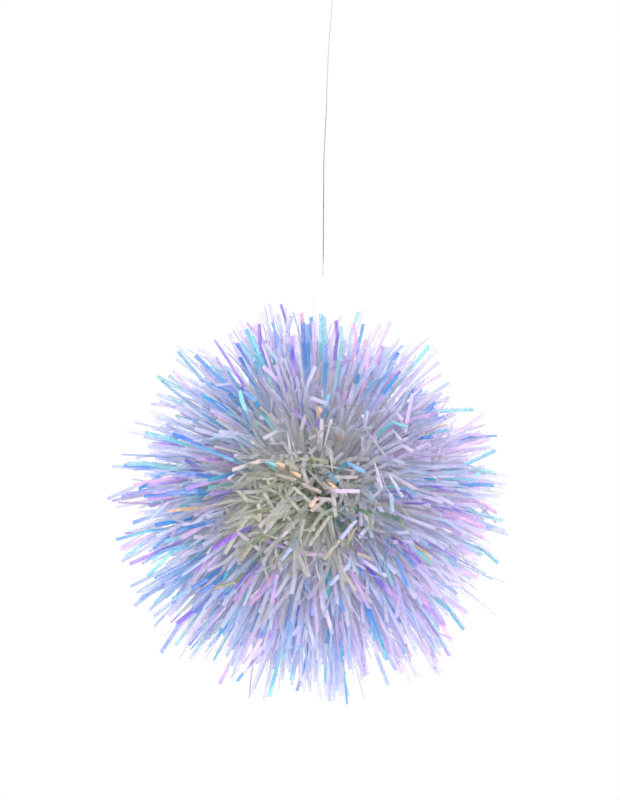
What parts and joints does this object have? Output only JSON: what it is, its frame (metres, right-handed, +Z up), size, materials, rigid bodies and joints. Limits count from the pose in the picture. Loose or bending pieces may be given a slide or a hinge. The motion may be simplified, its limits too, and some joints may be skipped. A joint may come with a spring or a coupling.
{
  "type": "pom pom ball",
  "caption": "Hanging pom pom ball of slit iridescent film strips bound at the middle, on a clear thread with a tied loop.",
  "frame": {"origin": "inside of the top of the hanging loop, where a hook bears", "axes": "+Z up along the hanging thread, +X to the right of the front view, +Y away from the viewer"},
  "size_m": [0.1807, 0.1865, 0.3607],
  "materials": {
    "iridescent_film": "thin clear film with a pearly interference coat that turns from lavender to pale cyan, blue and pink, and grey-green where it lies deep",
    "tie_cord": "twisted white cord",
    "clear_nylon": "clear drawn nylon, smooth"
  },
  "bodies": {
    "root": {"film_bundle_01": "iridescent_film", "film_bundle_02": "iridescent_film", "film_bundle_03": "iridescent_film", "film_bundle_04": "iridescent_film", "film_bundle_05": "iridescent_film", "film_bundle_06": "iridescent_film", "film_bundle_07": "iridescent_film", "film_bundle_08": "iridescent_film", "film_bundle_09": "iridescent_film", "film_bundle_10": "iridescent_film", "film_bundle_11": "iridescent_film", "film_bundle_12": "iridescent_film", "film_bundle_13": "iridescent_film", "film_bundle_14": "iridescent_film", "film_bundle_15": "iridescent_film", "film_bundle_16": "iridescent_film", "film_bundle_17": "iridescent_film", "film_bundle_18": "iridescent_film", "film_bundle_19": "iridescent_film", "film_bundle_20": "iridescent_film", "film_bundle_21": "iridescent_film", "film_bundle_22": "iridescent_film", "film_bundle_23": "iridescent_film", "film_bundle_24": "iridescent_film", "film_bundle_25": "iridescent_film", "film_bundle_26": "iridescent_film", "film_bundle_27": "iridescent_film", "film_bundle_28": "iridescent_film", "film_bundle_29": "iridescent_film", "film_bundle_30": "iridescent_film", "film_bundle_31": "iridescent_film", "film_bundle_32": "iridescent_film", "film_bundle_33": "iridescent_film", "film_bundle_34": "iridescent_film", "film_bundle_35": "iridescent_film", "film_bundle_36": "iridescent_film", "film_bundle_37": "iridescent_film", "film_bundle_38": "iridescent_film", "film_bundle_39": "iridescent_film", "film_bundle_40": "iridescent_film", "film_bundle_41": "iridescent_film", "film_bundle_42": "iridescent_film", "film_bundle_43": "iridescent_film", "film_bundle_44": "iridescent_film", "film_bundle_45": "iridescent_film", "film_bundle_46": "iridescent_film", "film_bundle_47": "iridescent_film", "film_bundle_48": "iridescent_film", "film_bundle_49": "iridescent_film", "film_bundle_50": "iridescent_film", "film_bundle_51": "iridescent_film", "film_bundle_52": "iridescent_film", "film_bundle_53": "iridescent_film", "film_bundle_54": "iridescent_film", "centre_tie": "tie_cord", "hanging_thread": "clear_nylon", "hanging_loop": "clear_nylon"}
  },
  "joints": []
}
